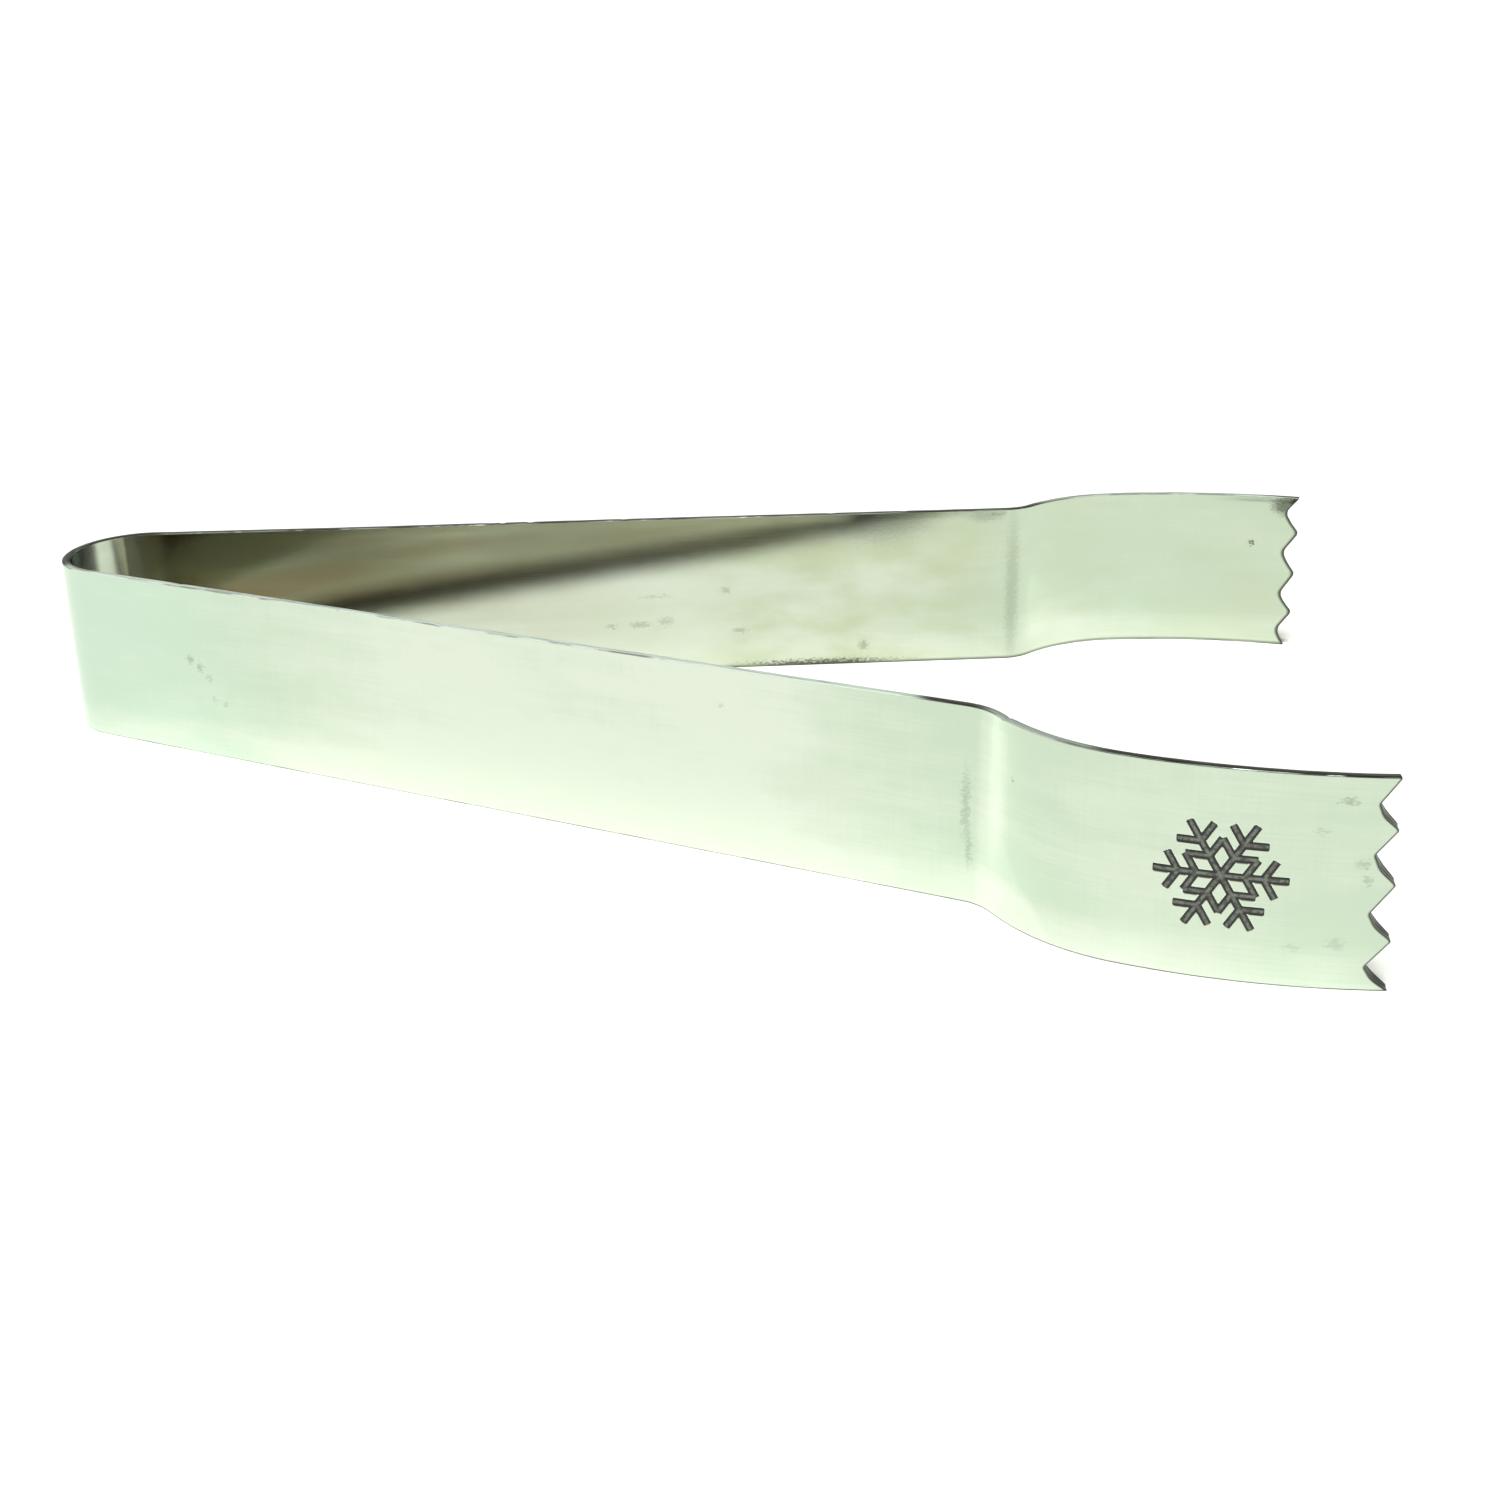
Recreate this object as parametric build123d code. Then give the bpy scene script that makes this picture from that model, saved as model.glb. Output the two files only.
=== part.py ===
"""Ice tongs: one strip of sheet steel bent into a bow, two arms and two toothed jaws.

Millimetres, +Z up. The tongs rest on one long edge of the strip (z = 0). The bow is at -X and the
tooth tips are at +X. The front arm and the front jaw are on the -Y side and the rear pair mirrors
them. The origin is at the centre of the bounding box in plan, on the resting edge.
"""
import math
import os
from itertools import pairwise

from build123d import *

# ---- Driving dimensions -------------------------------------------------------------------------
STRIP_WIDTH = 21.0
STRIP_THICKNESS = 0.9
EDGE_RADIUS = 0.15

BOW_RADIUS = 8.0            # to the middle of the strip's thickness, as are all the radii below
ARM_ANGLE = 13.5            # between each arm and the centre line, degrees
ARM_LENGTH = 110.0          # the straight part of each arm

CREASE_ANGLE = 38.5         # how far the jaw is kicked outwards at the end of the arm, degrees
CREASE_RADIUS = 5.6
HEEL_RADIUS = 20.4          # the tightly curved first part of the jaw
HEEL_ANGLE = 39.0
PALM_RADIUS = 69.0          # the nearly flat rest of the jaw, up to the teeth
PALM_ANGLE = 20.3

# The teeth, cut by hand: heights of the notches between them, how far each tooth stops short of the
# jaw's end, both from the bottom up, and the depth of the notches from that end
FRONT_SAW = {"notches": (2.5, 7.8, 13.6, 18.5), "short": (0.0, 0.2, 0.3, 0.5, 0.7), "depth": 2.4}
REAR_SAW = {"notches": (2.2, 7.3, 13.2, 18.8), "short": (0.8, 0.1, 0.1, 0.0, 0.1), "depth": 1.9}
TIP_ROUNDING = 0.2
NOTCH_ROUNDING = 0.45

MOTIF_ARM_LENGTH = 5.9      # generic ice crystal: six arms with two short branches each
MOTIF_ARM_COUNT = 6
MOTIF_LINE_WIDTH = 0.7
MOTIF_BRANCH_LENGTH = 2.1
MOTIF_BRANCH_STARTS = (2.1, 3.7)
MOTIF_BRANCH_ANGLE = 60.0
MOTIF_DEPTH = 0.2
MOTIF_FROM_HEEL = 9.1       # from the end of the heel to the motif's centre, along the palm

# ---- Worked out from the driving dimensions ------------------------------------------------------
BOW_QUARTER = 90.0 - ARM_ANGLE           # turn of the bow from its crown to the start of one arm
HINGE_ANGLE = BOW_QUARTER / 2.0          # the bow node ends here and the arm node starts
MID_HEIGHT = STRIP_WIDTH / 2.0
OUTSIDE = STRIP_THICKNESS / 2.0


def on_bow(angle, radius=BOW_RADIUS):
    """A point on the front half of the bow, at an angle round from the bow's crown."""
    return Vector(-radius, 0, MID_HEIGHT).rotate(Axis.Z, angle)


def heading(angle):
    """The direction of travel in plan, with the angle counted from +X towards the outside (-Y)."""
    return Vector(1, 0, 0).rotate(Axis.Z, -angle)


def bend(start, travel, radius, angle):
    """An arc that leaves start along travel; a positive angle turns the front strip outwards."""
    return JernArc(start=start, tangent=travel, radius=radius, arc_size=-angle)


def shoulder_path():
    """From the hinge line round the rest of the bow to the start of the straight arm."""
    return bend(on_bow(HINGE_ANGLE), heading(90.0 - HINGE_ANGLE), BOW_RADIUS, -(BOW_QUARTER - HINGE_ANGLE))


def arm_path():
    """The front shoulder of the bow and the straight arm."""
    shoulder = shoulder_path()
    straight = Line(shoulder @ 1, shoulder @ 1 + heading(ARM_ANGLE) * ARM_LENGTH)
    return [shoulder, straight]


def jaw_path():
    """The crease that kicks the front jaw outwards, then its heel and its palm, which curve back in."""
    arm_end = arm_path()[-1] @ 1
    crease = bend(arm_end, heading(ARM_ANGLE), CREASE_RADIUS, CREASE_ANGLE)
    heel = bend(crease @ 1, crease % 1, HEEL_RADIUS, -HEEL_ANGLE)
    palm = bend(heel @ 1, heel % 1, PALM_RADIUS, -PALM_ANGLE)
    return [crease, heel, palm]


def bow_path():
    """The middle of the bow, from the rear hinge line over the crown to the front hinge line."""
    travel = heading(90.0 + HINGE_ANGLE)
    return [bend(on_bow(-HINGE_ANGLE), travel, BOW_RADIUS, -2.0 * HINGE_ANGLE)]


def cross_section(path):
    """The plane across the start of a path: x to the outside of the front strip, y up."""
    travel = path[0] % 0
    return Plane(origin=path[0] @ 0, x_dir=travel.cross(Vector(0, 0, 1)), z_dir=travel * -1)


def strip_along(path):
    """The sheet strip, with its rounded long edges, swept along a path."""
    section = RectangleRounded(STRIP_THICKNESS, STRIP_WIDTH, EDGE_RADIUS)
    return sweep(cross_section(path) * section, path=Wire(path))


def skin_along(path):
    """The outermost layer of the strip, as deep as the motif is engraved."""
    section = Pos(OUTSIDE - MOTIF_DEPTH / 2.0, 0) * Rectangle(MOTIF_DEPTH, STRIP_WIDTH)
    return sweep(cross_section(path) * section, path=Wire(path))


def face_plane(edge, along):
    """A plane on the middle surface of the front strip: x along the strip, y up, z to the outside."""
    travel = edge.tangent_at(along)
    return Plane(origin=edge.position_at(along), x_dir=travel, z_dir=travel.cross(Vector(0, 0, 1)))


def saw_line(saw):
    """The zigzag of the teeth: each tip is midway between two notches, and so is each corner's."""
    notches = saw["notches"]
    valleys = [-notches[0], *notches, 2.0 * STRIP_WIDTH - notches[-1]]
    points = [(-saw["depth"], valleys[0] - MID_HEIGHT)]
    for (low, high), short in zip(pairwise(valleys), saw["short"]):
        points.append((-short, (low + high) / 2.0 - MID_HEIGHT))
        points.append((-saw["depth"], high - MID_HEIGHT))
    return points


def beyond_the_teeth(saw):
    """What is cut away past the saw-toothed end of the front jaw."""
    line = saw_line(saw)
    margin = 2.0 * saw["depth"]
    waste = make_face(Polyline(line + [(margin, line[-1][1]), (margin, line[0][1])], close=True))
    halfway = -saw["depth"] / 2.0
    waste = fillet(sharp_corners(waste, line, -saw["depth"], halfway), NOTCH_ROUNDING)
    waste = fillet(sharp_corners(waste, line, halfway, 0.0), TIP_ROUNDING)
    end = face_plane(jaw_path()[-1], 1.0)
    return extrude(end * waste, amount=2.0 * STRIP_THICKNESS, both=True)


def sharp_corners(waste, line, first, last):
    """The zigzag's own corners between two distances along the strip, not the ends of roundings."""
    edge = MID_HEIGHT + EDGE_RADIUS
    across = waste.vertices().filter_by_position(Axis.Y, -edge, edge)
    corners = across.filter_by_position(Axis.X, first, last)
    return [corner for corner in corners if is_sharp(corner, line)]


def is_sharp(corner, line):
    """Whether a corner is at one of the zigzag's points."""
    return any(math.dist((corner.X, corner.Y), point) < 1e-6 for point in line)


def crystal():
    """The outline of the ice crystal, flat, with its centre at the origin."""
    line = Pos(MOTIF_ARM_LENGTH / 2.0, 0) * Rectangle(MOTIF_ARM_LENGTH, MOTIF_LINE_WIDTH)
    twig = Pos(MOTIF_BRANCH_LENGTH / 2.0, 0) * Rectangle(MOTIF_BRANCH_LENGTH, MOTIF_LINE_WIDTH)
    arm = line
    for start in MOTIF_BRANCH_STARTS:
        for side in (-1, 1):
            arm = arm + Pos(start, 0) * Rot(0, 0, side * MOTIF_BRANCH_ANGLE) * twig
    turn = 360.0 / MOTIF_ARM_COUNT
    return Sketch() + [Rot(0, 0, turn * index) * arm for index in range(MOTIF_ARM_COUNT)]


def motif_fill():
    """The darkened fill of the motif engraved in the outer face of the front jaw."""
    palm = jaw_path()[-1]
    centre = face_plane(palm, MOTIF_FROM_HEEL / palm.length)
    return extrude(centre * crystal(), amount=2.0 * STRIP_THICKNESS) & skin_along([palm])


def jaw(saw):
    """A jaw on the front side with its teeth and no motif."""
    return strip_along(jaw_path()) - beyond_the_teeth(saw)


def nodes():
    """Every node of the tongs, in the bow's own frame."""
    fill = motif_fill()
    arm = strip_along(arm_path())
    return {
        "spring_bow": strip_along(bow_path()),
        "front_arm": arm,
        "front_jaw": jaw(FRONT_SAW) - fill,
        "motif_fill": fill,
        "rear_arm": mirror(arm, about=Plane.XZ),
        "rear_jaw": mirror(jaw(REAR_SAW), about=Plane.XZ),
    }


def main():
    """Move the tongs to their origin, write one STEP file for each node and print the joint's place."""
    shapes = nodes()
    box = Compound(children=[Compound(shape.solids()) for shape in shapes.values()]).bounding_box()
    to_origin = Pos(-box.center().X, -box.center().Y, -box.min.Z)
    os.makedirs("parts", exist_ok=True)
    for name, shape in shapes.items():
        export_step(to_origin * Compound(shape.solids()), f"parts/{name}.step")
    hinge = to_origin * Pos(on_bow(HINGE_ANGLE, BOW_RADIUS - OUTSIDE))
    print("size", box.size)
    print("front hinge line", hinge.position)


main()
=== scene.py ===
"""Looks of the ice tongs: one strip of pale, satin sheet steel, bent on edge, with saw-toothed jaws.

Every mesh is made here in the CAD model's frame, in metres. The strip is drawn by its plan, a path
of straight runs and arcs from the crown of the bow to the teeth, and by its cross-section. The front
side is at -Y, and the rear side mirrors it.
"""

import math

import bpy
import numpy as np
from mathutils import Matrix, Vector


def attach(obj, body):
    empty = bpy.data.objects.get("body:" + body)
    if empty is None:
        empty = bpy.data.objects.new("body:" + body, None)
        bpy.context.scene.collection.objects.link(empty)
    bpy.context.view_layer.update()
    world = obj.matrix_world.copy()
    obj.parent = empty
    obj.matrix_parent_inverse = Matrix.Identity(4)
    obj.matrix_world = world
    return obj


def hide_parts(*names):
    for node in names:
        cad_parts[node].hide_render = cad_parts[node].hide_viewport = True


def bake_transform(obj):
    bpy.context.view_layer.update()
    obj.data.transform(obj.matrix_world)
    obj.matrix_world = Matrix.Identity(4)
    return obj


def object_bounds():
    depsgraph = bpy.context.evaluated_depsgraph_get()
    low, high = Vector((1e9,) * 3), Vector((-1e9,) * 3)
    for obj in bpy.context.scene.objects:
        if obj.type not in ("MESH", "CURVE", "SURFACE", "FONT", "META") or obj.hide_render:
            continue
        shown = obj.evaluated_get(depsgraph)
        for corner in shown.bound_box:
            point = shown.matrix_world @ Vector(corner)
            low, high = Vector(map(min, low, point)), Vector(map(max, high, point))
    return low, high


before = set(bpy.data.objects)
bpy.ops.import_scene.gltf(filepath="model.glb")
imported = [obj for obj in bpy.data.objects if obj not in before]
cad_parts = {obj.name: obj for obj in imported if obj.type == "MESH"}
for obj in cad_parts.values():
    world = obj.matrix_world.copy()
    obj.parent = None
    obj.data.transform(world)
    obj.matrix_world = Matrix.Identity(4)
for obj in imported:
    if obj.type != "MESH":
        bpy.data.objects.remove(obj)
CAD_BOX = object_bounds()

MM = 0.001

# ---- The strip, as in the CAD model --------------------------------------------------------------
WIDTH = 21.0 * MM
THICKNESS = 0.9 * MM
EDGE_RADIUS = 0.15 * MM
BOW_RADIUS = 8.0 * MM
ARM_ANGLE = math.radians(13.5)
ARM_LENGTH = 110.0 * MM
CREASE_RADIUS = 5.6 * MM
CREASE_ANGLE = math.radians(38.5)
HEEL_RADIUS = 20.4 * MM
HEEL_ANGLE = math.radians(39.0)
PALM_RADIUS = 69.0 * MM
PALM_ANGLE = math.radians(20.3)
# The teeth, in mm: heights of the notches, how far each tooth stops short of the jaw's end, both from
# the bottom up, and the depth of the notches
FRONT_SAW = {"notches": (2.5, 7.8, 13.6, 18.5), "short": (0.0, 0.2, 0.3, 0.5, 0.7), "depth": 2.4}
REAR_SAW = {"notches": (2.2, 7.3, 13.2, 18.8), "short": (0.8, 0.1, 0.1, 0.0, 0.1), "depth": 1.9}
MOTIF_ARM_LENGTH = 5.9 * MM
MOTIF_ARM_COUNT = 6
MOTIF_LINE_WIDTH = 0.7 * MM
MOTIF_BRANCH_LENGTH = 2.1 * MM
MOTIF_BRANCH_STARTS = (2.1 * MM, 3.7 * MM)
MOTIF_BRANCH_ANGLE = math.radians(60.0)
MOTIF_FROM_HEEL = 9.1 * MM

SAWS = {"front": FRONT_SAW, "rear": REAR_SAW}
SIDES = {"front": -1.0, "rear": 1.0}     # the sign of Y on each side
HALF = THICKNESS / 2.0
BOW_QUARTER = math.pi / 2.0 - ARM_ANGLE

# Runs of the plan from the crown of the bow: length, and turn towards the outside
RUNS = {
    "bow": (BOW_RADIUS * BOW_QUARTER, -BOW_QUARTER),
    "arm": (ARM_LENGTH, 0.0),
    "crease": (CREASE_RADIUS * CREASE_ANGLE, CREASE_ANGLE),
    "heel": (HEEL_RADIUS * HEEL_ANGLE, -HEEL_ANGLE),
    "palm": (PALM_RADIUS * PALM_ANGLE, -PALM_ANGLE),
}
CROWN_X = CAD_BOX[0].x + HALF


# ---- The plan of the strip ------------------------------------------------------------------------
def run_starts():
    """Where each run starts: distance from the crown, x, distance out from the centre line, heading."""
    starts = {}
    distance, x, out, heading = 0.0, CROWN_X, 0.0, math.pi / 2.0
    for name, (length, turn) in RUNS.items():
        starts[name] = (distance, x, out, heading)
        dx, dout = along_arc(length, length, turn, heading)
        distance, x, out, heading = distance + length, x + dx, out + dout, heading + turn
    starts["end"] = (distance, x, out, heading)
    return starts


def along_arc(travelled, length, turn, heading):
    """How far an arc, or a straight line where turn is 0, has moved after travelled."""
    half_turn = 0.5 * turn * travelled / length
    chord = travelled * np.sinc(half_turn / math.pi)
    return chord * np.cos(heading + half_turn), chord * np.sin(heading + half_turn)


STARTS = run_starts()
STRIP_END = STARTS["end"][0]


def plan(distance):
    """x, distance out and heading of the strip's middle, for an array of distances from the crown."""
    x, out, heading = (np.zeros_like(distance) for _ in range(3))
    for name, (length, turn) in RUNS.items():
        start, x0, out0, heading0 = STARTS[name]
        travelled = distance - start
        here = travelled >= 0.0
        dx, dout = along_arc(travelled, length, turn, heading0)
        x[here] = (x0 + dx)[here]
        out[here] = (out0 + dout)[here]
        heading[here] = (heading0 + turn * travelled / length)[here]
    return x, out, heading


# ---- Small irregularities of hand-bent, sheared sheet ---------------------------------------------
WAVELENGTHS = (52.0 * MM, 31.0 * MM, 19.0 * MM, 12.0 * MM)
WAVE_TILT = 0.5                 # how far a wave's crests may slant, as a slope


def ripple(distance, height, seed):
    """A smooth random-looking wave over the sheet, between about -1 and 1."""
    total = np.zeros(np.broadcast(distance, height).shape)
    random = np.random.default_rng(seed)
    for wavelength in WAVELENGTHS:
        tilt = random.uniform(-WAVE_TILT, WAVE_TILT)
        phase = random.uniform(0.0, math.tau)
        turns = (distance + tilt * height) / wavelength
        total += np.sin(math.tau * turns + phase) * wavelength / WAVELENGTHS[0]
    return total / 2.0


SHEET_WAVE = 0.018 * MM
SHEET_SEED = {"front": 3, "rear": 8}
REAR_LEAN = math.radians(1.3)   # how far the rear arm leans in at the top, at its worst
REAR_LEAN_AT = 34.0 * MM        # where that is, from the crown
REAR_LEAN_NARROWNESS = 4        # how fast the lean fades away on both sides of that
ROLL_OVER = 0.008 * MM          # how far the faces fall away towards the sheared edges
ROLL_OVER_WIDTH = 0.9 * MM
EDGE_WOBBLE = 0.02 * MM
EDGE_SEED = {"front": 21, "rear": 34}
EDGE_PACE = 3.0                 # how much shorter the edges' waves are than the sheet's
NICK_DEPTH = 0.12 * MM
NICK_WIDTH = 0.5 * MM
# Where the nicks are, in mm from the crown
NICKS = {"front": (24.5, 61.0, 125.7), "rear": (53.4, 54.9, 58.5, 70.7, 97.4, 107.0)}


def sheet_shift(distance, height, side):
    """How far the sheet stands off its plan, outwards."""
    wave = SHEET_WAVE * ripple(distance, height, SHEET_SEED[side])
    if side == "front":
        return wave
    share = distance / REAR_LEAN_AT
    lean = REAR_LEAN * (share * np.exp(1.0 - share)) ** REAR_LEAN_NARROWNESS
    return wave - lean * (height - WIDTH / 2.0)


def edge_shift(distance, side, edge):
    """How far edge 0, the bottom, or 1, the top, is from straight: a wobble, and nicks in the top."""
    wobble = np.abs(EDGE_WOBBLE * ripple(EDGE_PACE * distance, 0.0, EDGE_SEED[side] + edge))
    if edge == 0:
        return wobble
    nicks = sum(np.exp(-(((distance - nick * MM) / (NICK_WIDTH / 2.0)) ** 2)) for nick in NICKS[side])
    return -wobble - NICK_DEPTH * nicks


# ---- The saw teeth --------------------------------------------------------------------------------
NOTCH_SOFTNESS = {"front": 0.30 * MM, "rear": 0.65 * MM}     # half the height that is rounded
TIP_SOFTNESS = {"front": 0.13 * MM, "rear": 0.45 * MM}
CUT_TILT = {"front": 0.30 * MM, "rear": 0.15 * MM}      # how much higher the cut is on the inner face
SCOOP = 0.10 * MM               # how far a flank that faces up is hollow, on both faces
OUTER_SCOOP = 0.22 * MM         # how much more hollow it is on the outer face


def zigzag(side):
    """The corners of the teeth's line, from the bottom up: heights and depths, notch and tip in turn."""
    saw = SAWS[side]
    width = WIDTH / MM
    valleys = np.array([-saw["notches"][0], *saw["notches"], 2.0 * width - saw["notches"][-1]])
    heights = np.empty(2 * len(valleys) - 1)
    heights[0::2], heights[1::2] = valleys, 0.5 * (valleys[1:] + valleys[:-1])
    depths = np.full(len(heights), saw["depth"])
    depths[1::2] = saw["short"]
    return heights * MM, depths * MM


def area_below(height, corners, depths):
    """The area between the teeth's line and the jaw's end, up to a height."""
    slopes = np.diff(depths) / np.diff(corners)
    areas = np.concatenate([[0.0], np.cumsum(0.5 * (depths[1:] + depths[:-1]) * np.diff(corners))])
    piece = np.clip(np.searchsorted(corners, height) - 1, 0, len(slopes) - 1)
    step = height - corners[piece]
    return areas[piece] + depths[piece] * step + 0.5 * slopes[piece] * step**2


def notch_depth(height, out, side):
    """How far the end of the jaw is cut back at each point, with rounded tips and notches."""
    corners, depths = zigzag(side)
    height = height + CUT_TILT[side] * np.clip(out / THICKNESS, -0.5, 0.5)
    nearest = np.abs(height[..., None] - corners).argmin(axis=-1)
    softness = np.where(nearest % 2 == 0, NOTCH_SOFTNESS[side], TIP_SOFTNESS[side])
    above = area_below(height + softness, corners, depths)
    below = area_below(height - softness, corners, depths)
    return (above - below) / (2.0 * softness) + scoop(height, out, corners)


def scoop(height, out, corners):
    """How much deeper than straight the flanks that face up are filed, mostly on the outer face."""
    flank = np.clip(np.searchsorted(corners, height) - 1, 0, len(corners) - 2)
    share = (height - corners[flank]) / (corners[flank + 1] - corners[flank])
    depth = SCOOP + OUTER_SCOOP * np.clip(0.5 + out / THICKNESS, 0.0, 1.0)
    return np.where(flank % 2 == 1, depth * np.sin(math.pi * share) ** 2, 0.0)


# ---- The engraved motif ---------------------------------------------------------------------------
GROOVE_DEPTH = 0.16 * MM
GROOVE_WALL = 0.12 * MM         # width of each sloping wall
GROOVE_LIP = 0.015 * MM         # metal pushed up beside the groove
FILL_BELOW = 0.05 * MM
MOTIF_CENTRE = STARTS["palm"][0] + MOTIF_FROM_HEEL
MOTIF_REACH = MOTIF_ARM_LENGTH + MOTIF_LINE_WIDTH


def crystal_lines():
    """The middle lines of the ice crystal: pairs of (along, up) points about its centre."""
    lines = []
    for index in range(MOTIF_ARM_COUNT):
        arm = math.tau * index / MOTIF_ARM_COUNT
        lines.append(((0.0, 0.0), (MOTIF_ARM_LENGTH * math.cos(arm), MOTIF_ARM_LENGTH * math.sin(arm))))
        for start in MOTIF_BRANCH_STARTS:
            foot = (start * math.cos(arm), start * math.sin(arm))
            for turn in (-MOTIF_BRANCH_ANGLE, MOTIF_BRANCH_ANGLE):
                reach_x = MOTIF_BRANCH_LENGTH * math.cos(arm + turn)
                reach_y = MOTIF_BRANCH_LENGTH * math.sin(arm + turn)
                lines.append((foot, (foot[0] + reach_x, foot[1] + reach_y)))
    return lines


def from_crystal(distance, height):
    """How far each point of the front jaw's face is from the nearest line of the crystal's middle.

    Past a line's end the distance jumps by half a line's width, so that the groove ends square there.
    """
    along, up = distance - MOTIF_CENTRE, height - WIDTH / 2.0
    nearest = np.full(np.broadcast(along, up).shape, np.inf)
    for (x0, y0), (x1, y1) in crystal_lines():
        length = math.hypot(x1 - x0, y1 - y0)
        ux, uy = (x1 - x0) / length, (y1 - y0) / length
        forward = (along - x0) * ux + (up - y0) * uy
        past = np.maximum(np.maximum(-forward, forward - length), 0.0)
        past = past + np.where(past > 0.0, MOTIF_LINE_WIDTH / 2.0, 0.0)
        sideways = np.abs((up - y0) * ux - (along - x0) * uy)
        nearest = np.minimum(nearest, np.maximum(sideways, past))
    return nearest


def smooth_step(value, low, high):
    """0 below low, 1 above high and a smooth ramp between."""
    share = np.clip((value - low) / (high - low), 0.0, 1.0)
    return share * share * (3.0 - 2.0 * share)


def groove(distance, height):
    """How far the engraving moves the front jaw's outer face, outwards."""
    away = from_crystal(distance, height)
    wall = MOTIF_LINE_WIDTH / 2.0
    cut = 1.0 - smooth_step(away, wall - GROOVE_WALL / 2.0, wall + GROOVE_WALL / 2.0)
    lip = np.exp(-(((away - wall - GROOVE_WALL) / GROOVE_WALL) ** 2))
    return GROOVE_LIP * lip * (1.0 - cut) - GROOVE_DEPTH * cut


# ---- Meshes of the strip --------------------------------------------------------------------------
ON_FACE = 0.9 * HALF            # points further from the middle than this are on a face
FALLS_AWAY = HALF - 0.5 * EDGE_RADIUS               # and further out than this fall away with it
EDGE_SHIFT_FADE = (0.5 * EDGE_RADIUS, 3.0 * EDGE_RADIUS)    # in from an edge, where its shift ends
CORNER_STEPS = 5
BOW_STEP = 0.25 * MM            # between columns of points along each stretch of the strip
ARM_STEP = 0.6 * MM
JAW_STEP = 0.4 * MM
MOTIF_STEP = 0.12 * MM
PLAIN_ROWS = 0.5 * MM           # between rows of points up the strip
ENGRAVED_ROWS = 0.12 * MM
TOOTHED_ROWS = 0.16 * MM
CUT_EDGE_FADE = 0.12            # the cut edge's colour fades over this share of the edge's radius
END_ROUNDING = 0.12 * MM
END_STEPS = 4
SEAM_STEP = 0.01 * MM           # a very short last step, so that two pieces' shading meets
SAW_STRETCH = 7.0 * MM          # the columns before the teeth are stretched to follow them


def half_section(row_step):
    """The outer half of the cross-section, from the bottom to the top: outwards offsets and heights."""
    turn = np.linspace(0.0, math.pi / 2.0, CORNER_STEPS + 1)
    flat = HALF - EDGE_RADIUS
    bottom = (flat + EDGE_RADIUS * np.sin(turn), EDGE_RADIUS - EDGE_RADIUS * np.cos(turn))
    top = (flat + EDGE_RADIUS * np.cos(turn), WIDTH - EDGE_RADIUS + EDGE_RADIUS * np.sin(turn))
    low, high = EDGE_RADIUS + SEAM_STEP, WIDTH - EDGE_RADIUS - SEAM_STEP
    rows = np.linspace(low, high, max(2, round((high - low) / row_step)))
    out = np.concatenate([bottom[0], np.full(len(rows), HALF), top[0]])
    height = np.concatenate([bottom[1], rows, top[1]])
    return out, height


def roll_over(height):
    """How far a face falls away from flat near the long edges."""
    to_edge = np.minimum(height, WIDTH - height) - EDGE_RADIUS
    return ROLL_OVER * (1.0 - smooth_step(to_edge, 0.0, ROLL_OVER_WIDTH))


def strip_points(distance, out, height, side, engraved):
    """Places of the strip's points, from their distances, offsets from the middle and heights."""
    shift = sheet_shift(distance, height, side)
    face = np.sign(out)
    out = out - face * roll_over(height) * (np.abs(out) > FALLS_AWAY)
    if engraved:
        out = out + np.where(out > ON_FACE, groove(distance, height), 0.0)
    x, middle, heading = plan(distance)
    lift = np.where(height < WIDTH / 2.0, edge_shift(distance, side, 0), edge_shift(distance, side, 1))
    to_edge = np.minimum(height, WIDTH - height)
    near_edge = 1.0 - smooth_step(to_edge, *EDGE_SHIFT_FADE)
    return np.stack([
        x - np.sin(heading) * (out + shift),
        SIDES[side] * (middle + np.cos(heading) * (out + shift)),
        height + lift * near_edge,
    ], axis=-1)


def columns(start, end, step):
    """Distances from start to end, with a very short step at each end."""
    inner = np.linspace(start + SEAM_STEP, end - SEAM_STEP, max(2, round((end - start) / step)))
    return np.concatenate([[start], inner, [end]])


def closed_grid(points):
    """Faces of a tube of columns of points, with a cap over each end made of matching pairs."""
    count, around = points.shape[:2]
    index = np.arange(count * around).reshape(count, around)
    following = np.roll(index, -1, axis=1)
    walls = np.stack([index[:-1], index[1:], following[1:], following[:-1]], axis=-1).reshape(-1, 4)
    half = around // 2
    caps = []
    for column, flip in ((index[0], 1), (index[-1], -1)):
        outer, inner = column[:half], column[half:][::-1]
        cap = np.stack([outer[:-1], outer[1:], inner[1:], inner[:-1]], axis=-1)
        caps.append(cap[:, ::flip])
    return walls, np.concatenate(caps)


def new_mesh(name, vertices, faces, flat_faces=0):
    """A mesh object, smooth but for its last flat_faces faces, which have sharp borders."""
    mesh = bpy.data.meshes.new(name)
    mesh.from_pydata(vertices.reshape(-1, 3).tolist(), [], faces.tolist())
    smooth = np.ones(len(faces), bool)
    smooth[len(faces) - flat_faces:] = False
    mesh.polygons.foreach_set("use_smooth", smooth)
    mesh.validate()
    mesh.update()
    piece = bpy.data.objects.new(name, mesh)
    bpy.context.scene.collection.objects.link(piece)
    return piece


def add_values(piece, name, values):
    """A number for each vertex, which the materials read."""
    attribute = piece.data.attributes.new(name, "FLOAT", "POINT")
    attribute.data.foreach_set("value", np.asarray(values, np.float32).ravel())


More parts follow.
